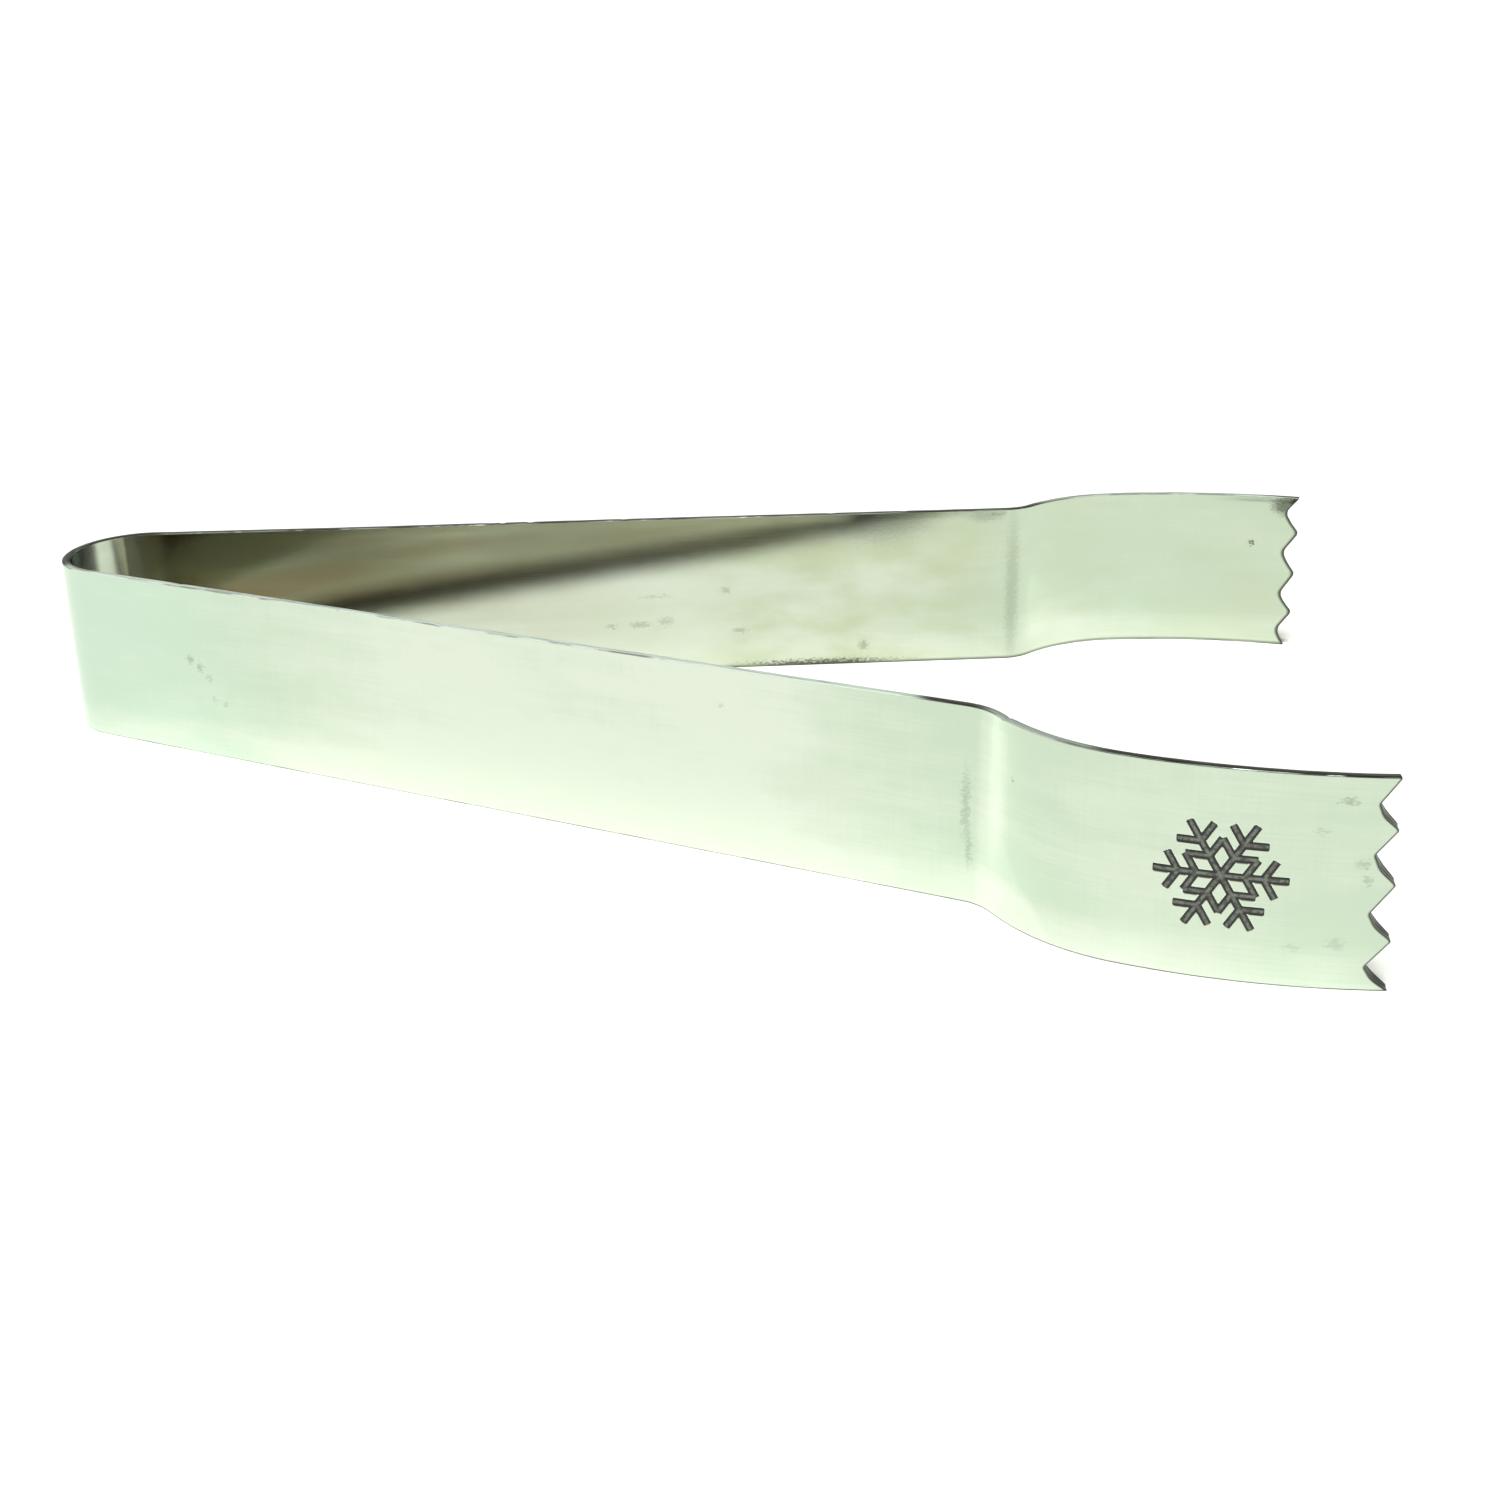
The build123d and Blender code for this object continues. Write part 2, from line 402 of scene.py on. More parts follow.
def sharpen_borders(piece, flat_faces):
    """Marks the edges between the smooth walls and the flat caps as sharp."""
    mesh = piece.data
    first_flat = len(mesh.polygons) - flat_faces
    flat_edges, wall_edges = set(), set()
    for polygon in mesh.polygons:
        (flat_edges if polygon.index >= first_flat else wall_edges).update(polygon.edge_keys)
    border = flat_edges & wall_edges
    sharp = [tuple(sorted(edge.vertices)) in border for edge in mesh.edges]
    attribute = mesh.attributes.new("sharp_edge", "BOOLEAN", "EDGE")
    attribute.data.foreach_set("value", sharp)


def make_strip(name, side, distances, row_step, toothed=False, engraved=False):
    """A piece of the strip as one closed mesh."""
    half_out, half_height = half_section(row_step)
    out = np.concatenate([half_out, -half_out[::-1]])
    height = np.concatenate([half_height, half_height[::-1]])
    distance, out, height = np.broadcast_arrays(distances[:, None], out[None, :], height[None, :])
    if toothed:
        distance, out, height = with_teeth(distance, out, height, side)
    points = strip_points(distance, out, height, side, engraved)
    walls, caps = closed_grid(points)
    faces = np.concatenate([walls, caps])
    if SIDES[side] < 0.0:
        faces = faces[:, ::-1]
    piece = new_mesh(name, points, faces, len(caps))
    sharpen_borders(piece, len(caps))
    add_values(piece, "along", SIDES[side] * distance)
    add_values(piece, "up", height)
    add_values(piece, "outside", out > 0.0)
    to_end = STRIP_END - distance
    if toothed:
        to_end = to_end - notch_depth(height, out, side)
    add_values(piece, "to_end", to_end)
    add_values(piece, "cut_edge", cut_edge(out, to_end))
    return piece


def cut_edge(out, to_end):
    """1 on the sheared long edges and on the cut ends of the teeth, 0 on the faces."""
    sheared = smooth_step(HALF - np.abs(out), 0.0, CUT_EDGE_FADE * EDGE_RADIUS)
    return np.maximum(sheared, 1.0 - smooth_step(to_end, 0.0, END_ROUNDING))


def with_teeth(distance, out, height, side):
    """Stretches the last columns so that they end on the teeth, and rounds the cut end's two rims."""
    fixed = STRIP_END - SAW_STRETCH
    ends = STRIP_END - notch_depth(height, out, side)
    share = np.clip((distance - fixed) / SAW_STRETCH, 0.0, 1.0)
    stretched = np.where(distance > fixed, fixed + share * (ends - END_ROUNDING - fixed), distance)
    turn = np.linspace(0.0, math.pi / 2.0, END_STEPS + 1)[1:, None]
    rim = ends[-1:] - END_ROUNDING * (1.0 - np.sin(turn))
    narrow = out[-1:] - np.sign(out[-1:]) * END_ROUNDING * (1.0 - np.cos(turn))
    narrow = np.where(np.abs(out[-1:]) > ON_FACE, narrow, out[-1:])
    high = np.broadcast_to(height[-1:], rim.shape)
    return np.vstack([stretched, rim]), np.vstack([out, narrow]), np.vstack([height, high])


# ---- The pieces -----------------------------------------------------------------------------------
FLAT_LEAD = 2.0 * MM            # seams lie this far into the straight arm, where both sides are flat
ARM_START = STARTS["arm"][0] + FLAT_LEAD
ARM_END = STARTS["crease"][0] - FLAT_LEAD


def bow_half(side, steel):
    """Half of the bow."""
    piece = make_strip(f"{side}_half_of_bow", side, columns(0.0, ARM_START, BOW_STEP), PLAIN_ROWS)
    finish_piece(piece, steel)
    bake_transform(piece)
    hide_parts("spring_bow")


def arm(side, steel):
    """The straight arm."""
    piece = make_strip(f"{side}_arm_strip", side, columns(ARM_START, ARM_END, ARM_STEP), PLAIN_ROWS)
    finish_piece(piece, steel)
    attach(piece, f"{side}_side")
    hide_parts(f"{side}_arm")


def front_jaw_columns():
    """Distances along the front jaw, close together where the motif is."""
    start, end = MOTIF_CENTRE - MOTIF_REACH, MOTIF_CENTRE + MOTIF_REACH
    before, after = columns(ARM_END, start, JAW_STEP), columns(end, STRIP_END, JAW_STEP)
    return np.unique(np.concatenate([before, columns(start, end, MOTIF_STEP), after]))


def jaw(side, steel):
    """The jaw from just before the crease to the tips of the teeth."""
    engraved = side == "front"
    distances = front_jaw_columns() if engraved else columns(ARM_END, STRIP_END, JAW_STEP)
    rows = ENGRAVED_ROWS if engraved else TOOTHED_ROWS
    piece = make_strip(f"{side}_jaw_strip", side, distances, rows, toothed=True, engraved=engraved)
    finish_piece(piece, steel)
    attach(piece, f"{side}_side")
    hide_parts(f"{side}_jaw")


FILL_STEP = 0.1 * MM


def motif_fill(dark):
    """The darkened fill: the part of a fine sheet that lies over the groove, as a closed slab."""
    reach = np.arange(-MOTIF_REACH, MOTIF_REACH, FILL_STEP)
    distance, height = np.meshgrid(MOTIF_CENTRE + reach, WIDTH / 2.0 + reach, indexing="ij")
    away = from_crystal(distance, height)
    inside = away < MOTIF_LINE_WIDTH / 2.0 + GROOVE_WALL
    cells = inside[:-1, :-1] & inside[1:, :-1] & inside[1:, 1:] & inside[:-1, 1:]
    front = strip_points(distance, np.full_like(distance, HALF - FILL_BELOW), height, "front", False)
    back = strip_points(distance, np.full_like(distance, HALF - GROOVE_DEPTH), height, "front", False)
    piece, kept = slab("motif_dark_fill", front, back, cells)
    for name, values in {"from_line": away, "along": distance, "up": height}.items():
        add_values(piece, name, np.tile(values.ravel(), 2)[kept])
    add_values(piece, "outside", np.ones(len(kept)))
    finish_piece(piece, dark)
    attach(piece, "front_side")
    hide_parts("motif_fill")


def slab(name, front, back, cells):
    """A closed slab between two grids of points, over the chosen cells, and the points that it keeps."""
    index = np.arange(front.shape[0] * front.shape[1]).reshape(front.shape[:2])
    corners = np.stack([index[:-1, :-1], index[1:, :-1], index[1:, 1:], index[:-1, 1:]], axis=-1)[cells]
    below = corners[:, ::-1] + index.size
    edges = {}
    for quad in corners.tolist():
        for a, b in zip(quad, quad[1:] + quad[:1]):
            edges[(a, b)] = True
    rim = [(b, a, a + index.size, b + index.size) for a, b in edges if (b, a) not in edges]
    faces = np.concatenate([corners, below, np.array(rim)])
    used, faces = np.unique(faces, return_inverse=True)
    vertices = np.concatenate([front.reshape(-1, 3), back.reshape(-1, 3)])[used]
    return new_mesh(name, vertices, faces.reshape(-1, 4)), used


def finish_piece(piece, material):
    """Gives a piece its material."""
    piece.data.materials.append(material)


# ---- Materials ------------------------------------------------------------------------------------
class Nodes:
    """A material's node tree, built by naming each node's kind and inputs."""

    def __init__(self, name):
        self.material = bpy.data.materials.new(name)
        self.material.use_nodes = True
        self.tree = self.material.node_tree
        self.shader = self.tree.nodes["Principled BSDF"]

    def add(self, kind, inputs=None, **settings):
        """A node with its settings made; an input is a number, a colour or another node's socket."""
        node = self.tree.nodes.new(kind)
        for name, value in settings.items():
            setattr(node, name, value)
        for name, value in (inputs or {}).items():
            self.feed(node.inputs[name], value)
        return node

    def feed(self, socket, value):
        """Links a socket to another, or gives it a value."""
        if isinstance(value, bpy.types.NodeSocket):
            self.tree.links.new(value, socket)
        else:
            socket.default_value = value

    def attribute(self, name):
        """A number kept on the mesh."""
        return self.add("ShaderNodeAttribute", attribute_name=name).outputs["Fac"]

    def math(self, operation, *values):
        """One sum, of two values or three."""
        return self.add("ShaderNodeMath", dict(enumerate(values)), operation=operation).outputs[0]

    def product(self, *values):
        """All the values multiplied together."""
        result = values[0]
        for value in values[1:]:
            result = self.math("MULTIPLY", result, value)
        return result

    def ramp(self, value, low, high, start=0.0, end=1.0):
        """Start below low, end above high, and a smooth ramp between."""
        limits = {"Value": value, "From Min": low, "From Max": high, "To Min": start, "To Max": end}
        return self.add("ShaderNodeMapRange", limits, interpolation_type="SMOOTHSTEP").outputs[0]

    def mix(self, share, first, second):
        """A blend of two colours."""
        node = self.add("ShaderNodeMix", data_type="RGBA")
        self.feed(node.inputs[0], share)
        self.feed(node.inputs[6], first)
        self.feed(node.inputs[7], second)
        return node.outputs[2]

    def pattern(self, name):
        """Noise over the sheet, from 0 to 1, as PATTERNS describes it."""
        along_size, up_size, detail, offset = PATTERNS[name]
        along = self.math("DIVIDE", self.attribute("along"), along_size * MM)
        up = self.math("DIVIDE", self.attribute("up"), up_size * MM)
        face = self.math("MULTIPLY_ADD", self.attribute("outside"), FACE_STEP, offset)
        place = self.add("ShaderNodeCombineXYZ", {"X": along, "Y": up, "Z": face}).outputs[0]
        noise = self.add("ShaderNodeTexNoise", {"Vector": place, "Scale": 1.0, "Detail": detail})
        return noise.outputs["Fac"]

    def patches(self, name):
        """The same noise, with more contrast, as CONTRASTS describes it."""
        return self.ramp(self.pattern(name), *CONTRASTS[name])

    def fade(self, place, name):
        """A share that changes smoothly with a place on the strip, as FADES describes it."""
        low, high, start, end = FADES[name]
        return self.ramp(place, low * MM, high * MM, start, end)

    def band(self, place, name):
        """A share between two places on the strip and 0 past them, as BANDS describes it."""
        low, high, border, share = BANDS[name]
        half = border / 2.0
        rise = self.ramp(place, (low - half) * MM, (low + half) * MM, 0.0, share)
        fall = self.ramp(place, (high - half) * MM, (high + half) * MM, 1.0, 0.0)
        return self.math("MULTIPLY", rise, fall)

    def inside(self):
        """1 on the inner faces, and 0 on the outer faces."""
        return self.math("SUBTRACT", 1.0, self.attribute("outside"))

    def from_crown(self):
        """The distance from the crown of the bow, on either side."""
        return self.math("ABSOLUTE", self.attribute("along"))

    def uneven(self, name):
        """The mesh's "along" or "up", pushed about by noise, so that marks get uneven outlines."""
        noise = self.pattern(f"mark_{name}")
        return self.math("MULTIPLY_ADD", noise, MARK_UNEVENNESS * MM, self.attribute(name))

    def marks(self, table):
        """Small uneven marks, each at (along, up) with half its length, half its height and a strength."""
        axes = {"X": self.uneven("along"), "Y": self.uneven("up")}
        place = self.add("ShaderNodeCombineXYZ", axes).outputs[0]
        total = 0.0
        for x, z, half_length, half_height, strength in table:
            centre = ((x + MARK_SHIFT) * MM, (z + MARK_SHIFT) * MM, 0.0)
            size = {"Vector": place, "Location": centre, "Scale": (half_length * MM, half_height * MM, 1.0)}
            scaled = self.add("ShaderNodeMapping", size, vector_type="TEXTURE").outputs[0]
            reach = self.add("ShaderNodeVectorMath", {0: scaled}, operation="LENGTH").outputs["Value"]
            total = self.math("MAXIMUM", total, self.ramp(reach, *MARK_FADE, strength, 0.0))
        return total


# Noise: the size of its features along the strip and up it, in mm, its detail, and where in the noise
# it is taken from, so that no two patterns match
PATTERNS = {
    "streaks": (9.0, 0.22, 3.0, 0.0),
    "crosswise": (0.25, 9.0, 2.0, 5.0),
    "clouds": (20.0, 6.0, 4.0, 3.0),
    "mottle": (3.0, 2.2, 5.0, 14.0),
    "foot": (28.0, 60.0, 1.0, 6.0),
    "yellowing": (15.0, 7.0, 4.0, 8.0),
    "layers": (45.0, 2.6, 3.0, 12.0),
    "rim_black": (6.0, 30.0, 3.0, 9.0),
    "rim_painted_glints": (3.5, 30.0, 3.0, 17.0),
    "rim_lines": (5.0, 30.0, 4.0, 2.0),
    "mark_along": (0.45, 0.28, 3.0, 31.0),
    "mark_up": (0.45, 0.28, 3.0, 47.0),
    "fill": (0.4, 0.4, 3.0, 0.0),
}
FACE_STEP = 7.3                 # how far apart the two faces' patterns lie in the noise

# Patches: the two limits in the noise between which they change, and the shares below and above them
CONTRASTS = {
    "clouds": (0.30, 0.70, -0.25, 0.25),
    "yellowing": (0.36, 0.64, 0.1, 0.9),
    "layers": (0.30, 0.65, 0.5, 1.0),
    "rim_black": (0.38, 0.62, 0.0, 1.0),
    "rim_painted_glints": (0.57, 0.68, 0.0, 0.7),
    "rim_lines": (0.38, 0.54, 0.0, 1.0),
    "fill": (0.35, 0.60, 0.3, 1.0),
}

# Fades: where they start and end, in mm, and the shares there. They run along the strip, up it, in
# from the teeth or out from the middle of the motif's lines. Distances along the strip are negative on
# the front side, unless they are taken from the crown on both sides.
FADES = {
    "mint": (18.0, 45.0, 0.0, 1.0),
    # painted reflection of the bright floor along the foot of every face
    "foot_painted_reflection": (4.6, 7.0, 0.5, 0.0),
    # painted highlight past the crease, on the outer faces
    "crease_painted_highlight": (121.8, 122.9, 0.0, 0.55),
    "crease_highlight_end": (125.4, 127.2, 1.0, 0.0),
    "crease_wider": (0.5, 9.0, 5.0 * MM, 0.0),
    "heel_foot": (3.5, 9.0, 0.6, 0.0),
    # painted shade between the arms, on the inner faces: heaviest towards the crown, lighter on the jaws,
    # thin low down in a band
    "shade_towards_crown": (10.0, 75.0, 1.0, 0.12),
    "shade_on_jaws": (105.0, 125.0, 1.0, 0.6),
    "shade_kept_above": (4.0, 11.0, 0.0, 1.0),
    "bow_end": (8.0, 14.0, 1.0, 0.0),
    # painted shade in the bow and on the rear arm's upper inner face, begun past the bright band
    "past_bright_band": (6.7, 7.1, 0.0, 1.0),
    "shoulder_dark": (8.5, 12.0, 0.85, 0.0),
    "shoulder_dim": (12.0, 22.0, 0.45, 0.0),
    "upper_part": (12.5, 18.5, 0.0, 1.0),
    "upper_dark": (24.0, 60.0, 0.60, 0.0),
    # painted contact shade along the foot of the inner faces
    "foot_painted_shade": (0.2, 0.5, 0.55, 0.0),
    "teeth_stained": (0.1, 0.35, 0.9, 0.0),
    "lines_past_bow": (20.0, 55.0, 0.04, 1.0),
    "fill_middle": (0.05, 0.24, 1.0, 0.0),
}

# Bands: where they start and end along the strip and how wide their soft borders are, in mm, and the
# share between them
BANDS = {
    "arms_rubbed": (42.0, 109.0, 32.0, 1.0),
    "palm_rubbed": (133.0, 150.0, 12.0, 0.45),
    # painted highlight at the foot of the rear heel
    "heel_painted_highlight": (124.0, 132.0, 5.0, 1.0),
    "yellowed": (84.0, 120.0, 16.0, 0.6),
    # where the painted shade between the arms is thin, low down
    "thin_shade": (24.0, 48.0, 12.0, 0.45),
    # painted shade at the crown, then the bright band, a painted reflection inside the bow
    "crown_dark": (-6.0, 2.9, 1.4, 1.0),
    "bright_band": (2.9, 6.9, 1.0, 1.0),
    "upper_dim": (46.0, 74.0, 22.0, 0.22),
    # painted highlights on the sheared edges
    "front_arm_rim": (-116.0, -6.5, 2.5, 1.0),
    "front_heel_rim": (-136.0, -122.5, 3.0, 0.65),
    "rear_jaw_rim": (126.0, 159.0, 4.0, 0.75),
}

# Marks in mm: distance from the crown (negative on the front side), height, half length, half height,
# and strength. The front side's are on the outer face, and the rear side's on the inner face.
# Most marks are stains; those at about 121 mm, in the creases, and the rear's long one along the foot at 96
# mm are painted shade.
FRONT_MARKS = (
    (-25.4, 11.9, 0.6, 0.5, 0.32), (-26.8, 11.1, 0.5, 0.7, 0.32), (-28.1, 10.0, 0.6, 0.4, 0.24),
    (-28.5, 7.3, 0.4, 0.4, 0.28), (-29.9, 6.9, 0.4, 0.3, 0.24), (-94.6, 16.9, 0.3, 0.3, 0.20),
    (-120.9, 10.5, 0.5, 4.5, 0.24), (-121.3, 6.0, 0.4, 2.5, 0.24), (-127.3, 15.2, 0.25, 0.25, 0.48),
    (-155.7, 15.6, 0.9, 0.3, 0.18), (-157.8, 18.6, 0.9, 0.4, 0.32), (-159.6, 12.6, 0.8, 0.4, 0.24),
    (-159.9, 11.0, 0.5, 0.5, 0.24), (-157.7, 4.6, 0.9, 0.6, 0.18), (-154.0, 4.0, 0.9, 0.4, 0.14),
)
REAR_MARKS = (
    (68.4, 6.4, 0.8, 0.3, 0.28), (72.1, 6.5, 1.6, 0.45, 0.28), (75.6, 6.9, 1.2, 0.6, 0.24),
    (74.2, 10.4, 2.6, 0.25, 0.20), (83.5, 11.0, 0.7, 0.4, 0.28), (85.3, 5.3, 1.1, 0.4, 0.28),
    (101.8, 2.6, 0.8, 0.8, 0.36), (96.0, 0.0, 13.0, 0.9, 0.90), (121.7, 10.0, 1.0, 12.0, 0.22),
    (97.5, 19.8, 2.5, 1.2, 0.20), (104.5, 21.5, 8.0, 5.0, 0.55), (118.0, 20.0, 2.5, 0.8, 0.24),
    (156.7, 14.4, 0.45, 0.4, 0.85), (160.8, 19.8, 2.0, 1.5, 0.75), (162.3, 20.4, 1.6, 1.1, 1.00),
)
MARK_UNEVENNESS = 2.0           # mm
MARK_SHIFT = 1.0                # the mean of the unevenness, mm
MARK_FADE = (0.3, 1.25)         # shares of a mark's half size between which it fades

# The steel's colours
PALE = (0.530, 0.612, 0.502, 1.0)
MINT = (0.540, 0.652, 0.552, 1.0)
PALER = (0.665, 0.705, 0.625, 1.0)
YELLOWED = (0.50, 0.55, 0.385, 1.0)
# painted shade between the arms, on the inner faces
INNER_SHADE = (0.40, 0.355, 0.265, 1.0)
# painted shade inside the bow and on the rear arm's upper inner face
BOW_SHADE = (0.150, 0.165, 0.155, 1.0)
# stains, and painted shade in the creases and along the foot
STAIN_AND_SHADE = (0.05, 0.052, 0.038, 1.0)
# the pale of the painted highlight on the sheared edges; RIM_GREY also serves the painted glints
RIM_PALE = (0.68, 0.74, 0.70, 1.0)
RIM_GREY = (0.30, 0.33, 0.31, 1.0)
RIM_DARK = (0.10, 0.11, 0.10, 1.0)
RIM_BLACK = (0.015, 0.017, 0.015, 1.0)

FINE_STREAKS = 0.7              # how much of each fine pattern the sheet's colour follows
FINE_CROSSWISE = 0.3
FINE_MOTTLE = 0.5
FINE_MEAN = 0.75                # the mean of the three together
FOOT_UNEVENNESS = 4.0 * MM
YELLOWED_ALL_OVER = 0.4
BRIGHT_BAND_SHADE = 0.4       # share of the painted shade left in the bright band, a painted reflection
INNER_TEETH_STAIN = 1.8         # how much wider the stain at the teeth is on the inner faces

ROUGHNESS = 0.07
STREAK_ROUGHNESS = 0.05         # what the streaks add, at most
BOW_ROUGHNESS = 0.10            # what is added inside the bow
DARK_RIM_ROUGHNESS = 0.3        # what is added on the sheared edges
PALE_RIM_ROUGHNESS = 0.75
RELIEF = 0.001 * MM
CROSSWISE_RELIEF = 0.12         # relief of the lines across the strip, as a share of the streaks'


def satin_steel():
    """Pale satin sheet with streaks, clouds and marks, painted shade, painted reflections and highlights,
    and its sheared edges.
    """
    nodes = Nodes("satin_steel")
    streaks = nodes.pattern("streaks")
    crosswise = nodes.pattern("crosswise")
    edge = nodes.attribute("cut_edge")
    pale = rim_painted_highlight(nodes)
    colour = nodes.mix(edge, sheet_colour(nodes, streaks, crosswise), rim_colour(nodes, pale))
    nodes.feed(nodes.shader.inputs["Base Color"], colour)
    nodes.feed(nodes.shader.inputs["Roughness"], roughness(nodes, streaks, edge, pale))
    nodes.feed(nodes.shader.inputs["Normal"], relief(nodes, streaks, crosswise))
    nodes.shader.inputs["Metallic"].default_value = 1.0
    return nodes.material


def roughness(nodes, streaks, edge, pale):
    """Satin faces, a little rougher in the streaks and inside the bow, and rough sheared edges."""
    rough = nodes.math("MULTIPLY_ADD", streaks, STREAK_ROUGHNESS, ROUGHNESS)
    in_bow = nodes.product(nodes.inside(), nodes.fade(nodes.from_crown(), "bow_end"))
    rough = nodes.math("MULTIPLY_ADD", in_bow, BOW_ROUGHNESS, rough)
    rim = nodes.ramp(pale, 0.0, 1.0, DARK_RIM_ROUGHNESS, PALE_RIM_ROUGHNESS)
    return nodes.math("MULTIPLY_ADD", edge, rim, rough)


def relief(nodes, streaks, crosswise):
    """Fine lines along and across the strip: on the inner faces, only on the rear side past the bow."""
    height = nodes.math("MULTIPLY_ADD", crosswise, CROSSWISE_RELIEF, streaks)
    lined = nodes.fade(nodes.attribute("along"), "lines_past_bow")
    height = nodes.product(height, nodes.math("MAXIMUM", lined, nodes.attribute("outside")))
    bump = nodes.add("ShaderNodeBump", {"Height": height, "Strength": 1.0, "Distance": RELIEF})
    return bump.outputs[0]


def sheet_colour(nodes, streaks, crosswise):
    """The colour of the faces, from the plain sheet to the stains on it."""
    colour = nodes.mix(nodes.fade(nodes.from_crown(), "mint"), MINT, PALE)
    colour = nodes.mix(rubbed_and_reflection_share(nodes, streaks, crosswise), colour, PALER)
    colour = nodes.mix(yellowed_share(nodes), colour, YELLOWED)
    colour = nodes.mix(inner_shade_share(nodes), colour, INNER_SHADE)
    colour = nodes.mix(bow_shade_share(nodes), colour, BOW_SHADE)
    return nodes.mix(stain_and_shade_share(nodes), colour, STAIN_AND_SHADE)


def rubbed_and_reflection_share(nodes, streaks, crosswise):
    """How much paler the sheet is: rubbed in clouds, in broad areas and in fine lines, with a painted
    reflection along the foot and a painted highlight at the rear heel's foot.
    """
    along, up = nodes.attribute("along"), nodes.attribute("up")
    share = nodes.math("ADD", nodes.patches("clouds"), nodes.band(nodes.from_crown(), "arms_rubbed"))
    uneven = nodes.math("MULTIPLY_ADD", nodes.pattern("foot"), FOOT_UNEVENNESS, up)
    # painted reflection of the bright floor along the foot
    share = nodes.math("ADD", share, nodes.fade(uneven, "foot_painted_reflection"))
    share = nodes.math("MULTIPLY_ADD", rubbed_and_highlight_outside(nodes), nodes.attribute("outside"), share)
    # painted highlight at the foot of the rear heel
    heel = nodes.product(nodes.band(along, "heel_painted_highlight"), nodes.fade(up, "heel_foot"))
    share = nodes.math("ADD", share, heel)
    fine = nodes.math("MULTIPLY_ADD", streaks, FINE_STREAKS, nodes.product(crosswise, FINE_CROSSWISE))
    fine = nodes.math("MULTIPLY_ADD", nodes.pattern("mottle"), FINE_MOTTLE, fine)
    return nodes.math("ADD", share, nodes.math("SUBTRACT", fine, FINE_MEAN))


def rubbed_and_highlight_outside(nodes):
    """On the outer faces only: a painted highlight past the crease, wider at its foot, and the palm."""
    widening = nodes.fade(nodes.attribute("up"), "crease_wider")
    line_end = nodes.fade(nodes.math("SUBTRACT", nodes.from_crown(), widening), "crease_highlight_end")
    line = nodes.product(nodes.fade(nodes.from_crown(), "crease_painted_highlight"), line_end)
    return nodes.math("ADD", nodes.band(nodes.from_crown(), "palm_rubbed"), line)


def yellowed_share(nodes):
    """Uneven yellowing of the inner faces, most towards the end of the rear arm."""
    extra = nodes.band(nodes.attribute("along"), "yellowed")
    return nodes.product(
        nodes.inside(), nodes.math("ADD", extra, YELLOWED_ALL_OVER), nodes.patches("yellowing"),
    )


def inner_shade_share(nodes):
    """Painted shade between the arms: a warm, layered darkening of the inner faces, heaviest on the front
    side and inside the bow.
    """
    along = nodes.attribute("along")
    on_jaws = nodes.fade(nodes.from_crown(), "shade_on_jaws")
    bright_band = nodes.ramp(nodes.band(along, "bright_band"), 0.0, 1.0, 1.0, BRIGHT_BAND_SHADE)
    thin_shade = nodes.math("SUBTRACT", 1.0, nodes.band(along, "thin_shade"))
    thin_shade = nodes.math("MAXIMUM", thin_shade, nodes.fade(nodes.attribute("up"), "shade_kept_above"))
    layers = nodes.product(nodes.fade(along, "shade_towards_crown"), nodes.patches("layers"))
    return nodes.product(nodes.inside(), layers, on_jaws, bright_band, thin_shade)


def bow_shade_share(nodes):
    """Painted shade inside the bow and along the rear arm's upper part, left off in a bright band that is a
    painted reflection.
    """
    along = nodes.attribute("along")
    shoulder = nodes.math("MAXIMUM", nodes.fade(along, "shoulder_dark"), nodes.fade(along, "shoulder_dim"))
    upper = nodes.math("MAXIMUM", nodes.band(along, "upper_dim"), nodes.fade(along, "upper_dark"))
    upper = nodes.product(upper, nodes.fade(nodes.attribute("up"), "upper_part"))
    rear = nodes.product(nodes.math("MAXIMUM", shoulder, upper), nodes.fade(along, "past_bright_band"))
    return nodes.product(nodes.inside(), nodes.math("MAXIMUM", nodes.band(along, "crown_dark"), rear))


def stain_and_shade_share(nodes):
    """The marks, stains but for painted shade in the creases and along the rear foot, dark lines where the
    teeth were cut, and painted contact shade along the foot of the inner faces.
    """
    outside = nodes.attribute("outside")
    front = nodes.product(outside, nodes.marks(FRONT_MARKS))
    foot = nodes.fade(nodes.attribute("up"), "foot_painted_shade")
    rear = nodes.product(nodes.inside(), nodes.math("MAXIMUM", nodes.marks(REAR_MARKS), foot))
    width = nodes.ramp(outside, 0.0, 1.0, INNER_TEETH_STAIN, 1.0)
    teeth = nodes.fade(nodes.math("DIVIDE", nodes.attribute("to_end"), width), "teeth_stained")
    return nodes.math("MAXIMUM", nodes.math("MAXIMUM", front, rear), teeth)


def rim_painted_highlight(nodes):
    """How far the sheared edges are painted pale as a highlight: most along the front arm, then by the
    jaws.
    """
    along = nodes.attribute("along")
    jaws = nodes.math("MAXIMUM", nodes.band(along, "front_heel_rim"), nodes.band(along, "rear_jaw_rim"))
    return nodes.math("MAXIMUM", nodes.band(along, "front_arm_rim"), jaws)


def rim_colour(nodes, pale):
    """The colour of the sheared edges: a pale painted highlight with grey stretches, or dark with black
    stretches and grey painted glints.
    """
    dark = nodes.mix(nodes.patches("rim_black"), RIM_BLACK, RIM_DARK)
    dark = nodes.mix(nodes.patches("rim_painted_glints"), dark, RIM_GREY)
    bright = nodes.mix(nodes.patches("rim_lines"), RIM_GREY, RIM_PALE)
    return nodes.mix(pale, dark, bright)


# painted shade of the groove's walls, and a painted highlight along the groove's middle
FILL_BLACK = (0.006, 0.007, 0.006, 1.0)
FILL_GREY = (0.15, 0.16, 0.14, 1.0)
FILL_ROUGHNESS = 0.55


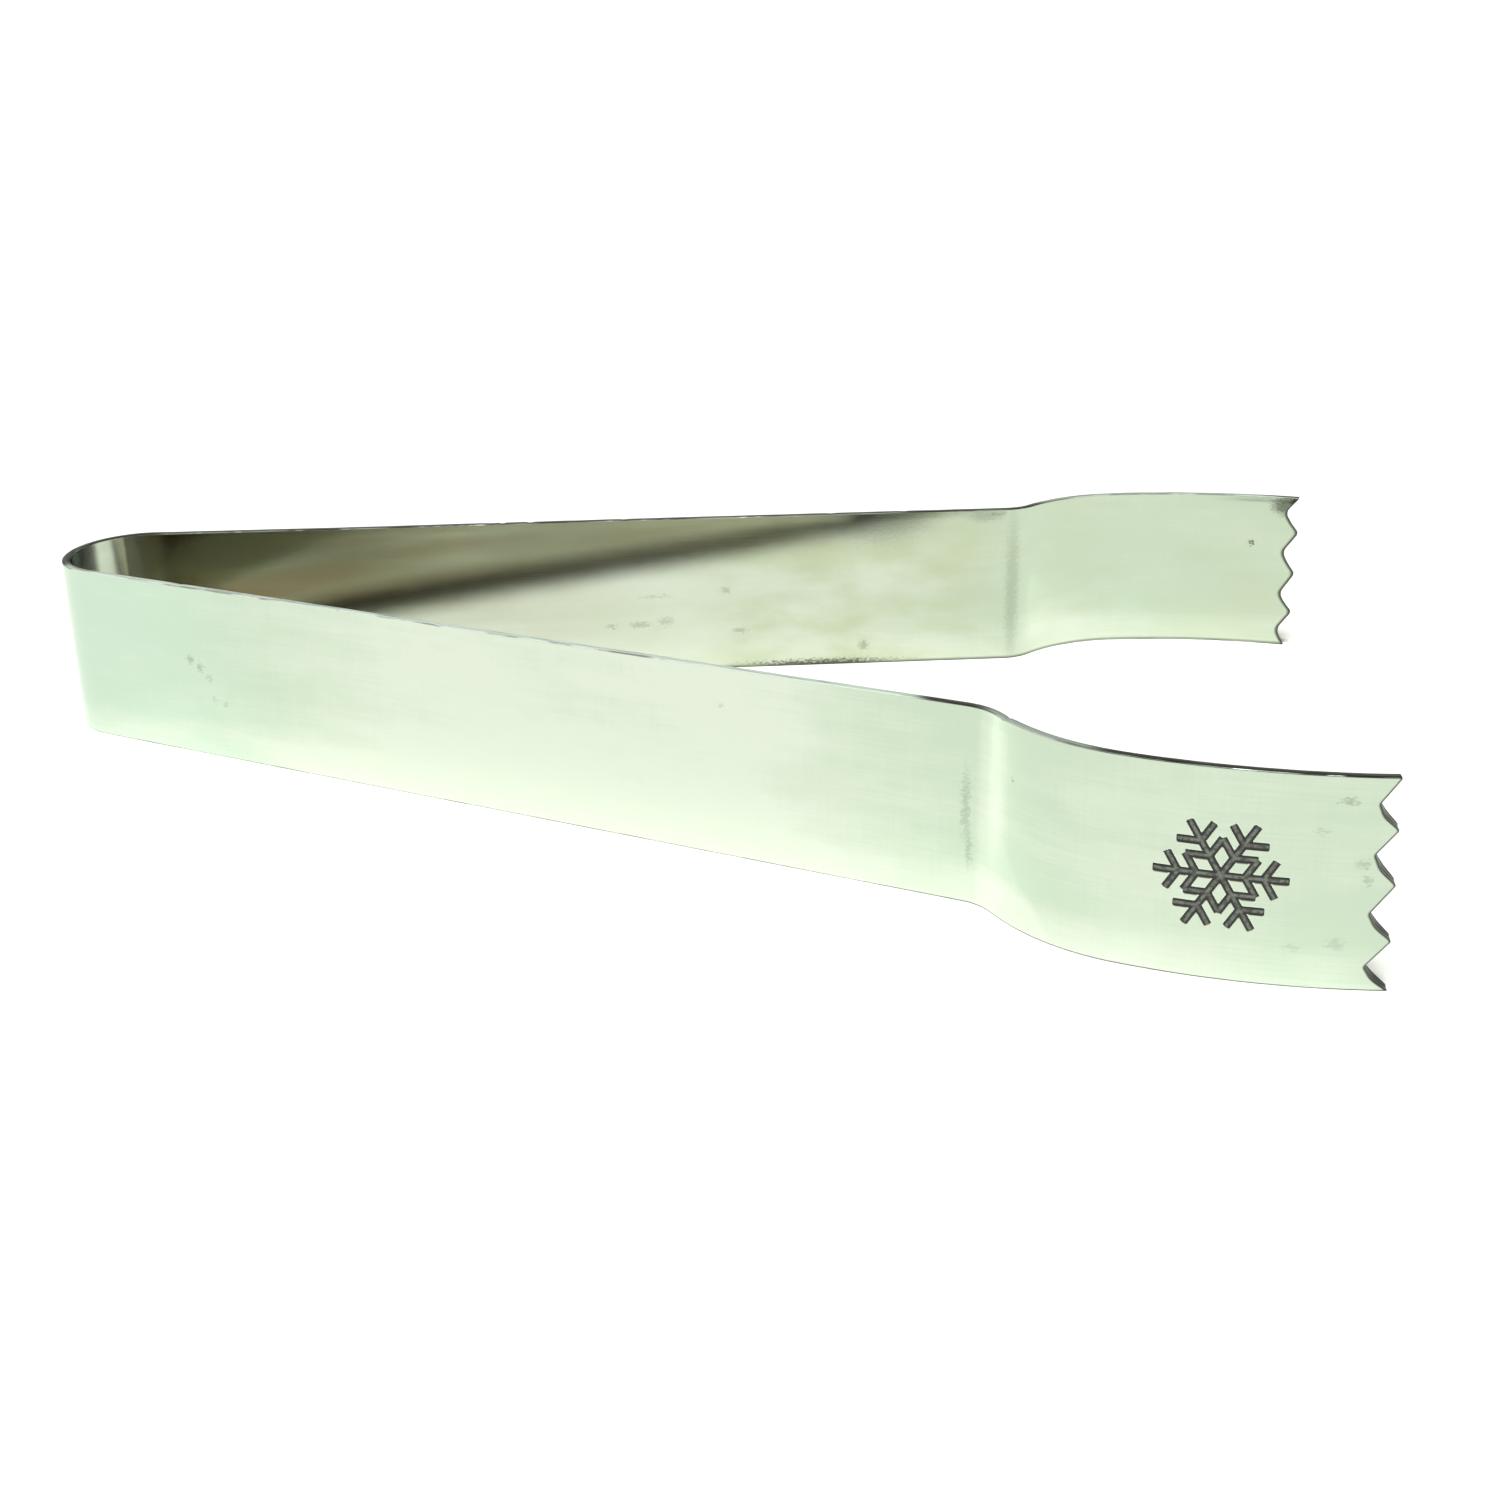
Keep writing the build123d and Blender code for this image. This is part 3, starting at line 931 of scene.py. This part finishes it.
def dark_fill():
    """The dark fill of the motif: black beside the walls of the groove, a painted shade, and grey along its
    middle, a painted highlight.
    """
    nodes = Nodes("dark_fill")
    middle = nodes.fade(nodes.attribute("from_line"), "fill_middle")
    share = nodes.product(middle, nodes.patches("fill"))
    nodes.feed(nodes.shader.inputs["Base Color"], nodes.mix(share, FILL_BLACK, FILL_GREY))
    nodes.shader.inputs["Roughness"].default_value = FILL_ROUGHNESS
    return nodes.material


# ---- Stage, light and camera ----------------------------------------------------------------------
FLOOR_REACH = 40.0
FLOOR_COLOUR = (0.86, 0.86, 0.86, 1.0)
FLOOR_ROUGHNESS = 0.9


def make_floor():
    """A plain pale floor."""
    outline = np.array([(-1.0, -1.0, 0.0), (1.0, -1.0, 0.0), (1.0, 1.0, 0.0), (-1.0, 1.0, 0.0)])
    floor = new_mesh("floor", FLOOR_REACH * outline, np.array([[0, 1, 2, 3]]))
    nodes = Nodes("floor")
    nodes.shader.inputs["Base Color"].default_value = FLOOR_COLOUR
    nodes.shader.inputs["Roughness"].default_value = FLOOR_ROUGHNESS
    nodes.shader.inputs["Specular IOR Level"].default_value = 0.0
    floor.data.materials.append(nodes.material)


OVERHEAD = 0.05                 # strength of the soft light from above
HORIZON = 1.3                   # and of the white band round the horizon
HORIZON_TOP = (0.1, 0.6)        # heights, as sines, between which the band fades
SKY_COLOUR = (1.0, 0.96, 0.90, 1.0)


def make_world():
    """A dim, soft fill, with a white band round the horizon."""
    world = bpy.data.worlds.new("studio")
    bpy.context.scene.world = world
    world.use_nodes = True
    tree = world.node_tree
    background = tree.nodes["Background"]
    coordinates = tree.nodes.new("ShaderNodeTexCoord")
    split = tree.nodes.new("ShaderNodeSeparateXYZ")
    fade = tree.nodes.new("ShaderNodeMapRange")
    fade.interpolation_type = "SMOOTHSTEP"
    low, high = HORIZON_TOP
    for name, value in {"From Min": low, "From Max": high, "To Min": HORIZON, "To Max": OVERHEAD}.items():
        fade.inputs[name].default_value = value
    tree.links.new(coordinates.outputs["Generated"], split.inputs[0])
    tree.links.new(split.outputs["Z"], fade.inputs["Value"])
    tree.links.new(fade.outputs[0], background.inputs["Strength"])
    background.inputs["Color"].default_value = SKY_COLOUR


KEY_STRENGTH = 4.1
KEY_ANGLE = math.radians(20.0)  # how wide the light looks from the tongs
KEY_ELEVATION = math.radians(75.0)
KEY_COLOUR = (0.95, 1.0, 0.92)


def make_key():
    """The main light: large, soft, high and in front."""
    data = bpy.data.lights.new("key", "SUN")
    data.energy = KEY_STRENGTH
    data.angle = KEY_ANGLE
    data.color = KEY_COLOUR
    key = bpy.data.objects.new("key", data)
    bpy.context.scene.collection.objects.link(key)
    towards = Vector((0.0, -math.cos(KEY_ELEVATION), math.sin(KEY_ELEVATION)))
    key.rotation_euler = towards.to_track_quat("Z", "Y").to_euler()


CAMERA_PLACE = (47.4 * MM, -186.3 * MM, 85.07 * MM)
CAMERA_TURN = math.radians(9.73)        # to the left of +Y
CAMERA_TILT = math.radians(18.0)        # downwards
CAMERA_ROLL = math.radians(-0.57)
CAMERA_LENS = 41.39                     # mm
CAMERA_SENSOR = 36.0                    # its width, mm
CAMERA_SHIFT = (-0.0333, -0.1267)
CAMERA_CLIP = 10.0 * MM


def make_camera():
    """The camera at the height and side from which the tongs were seen."""
    data = bpy.data.cameras.new("camera")
    camera = bpy.data.objects.new("camera", data)
    bpy.context.scene.collection.objects.link(camera)
    data.sensor_width = CAMERA_SENSOR
    data.lens = CAMERA_LENS
    data.shift_x, data.shift_y = CAMERA_SHIFT
    data.clip_start = CAMERA_CLIP
    flat = math.cos(CAMERA_TILT)
    forward = Vector((-math.sin(CAMERA_TURN) * flat, math.cos(CAMERA_TURN) * flat, -math.sin(CAMERA_TILT)))
    right = Vector((math.cos(CAMERA_TURN), math.sin(CAMERA_TURN), 0.0))
    up = right.cross(forward)
    rolled_right = math.cos(CAMERA_ROLL) * right + math.sin(CAMERA_ROLL) * up
    rolled_up = math.cos(CAMERA_ROLL) * up - math.sin(CAMERA_ROLL) * right
    turned = Matrix((rolled_right, rolled_up, -forward)).transposed()
    camera.matrix_world = Matrix.Translation(CAMERA_PLACE) @ turned.to_4x4()
    bpy.context.scene.camera = camera


def main():
    """Make every piece, the stage, the lights and the camera."""
    make_camera()
    make_world()
    make_key()
    make_floor()
    bpy.context.scene.view_settings.view_transform = "Standard"
    steel = satin_steel()
    for side in SIDES:
        bow_half(side, steel)
        arm(side, steel)
        jaw(side, steel)
    motif_fill(dark_fill())


main()
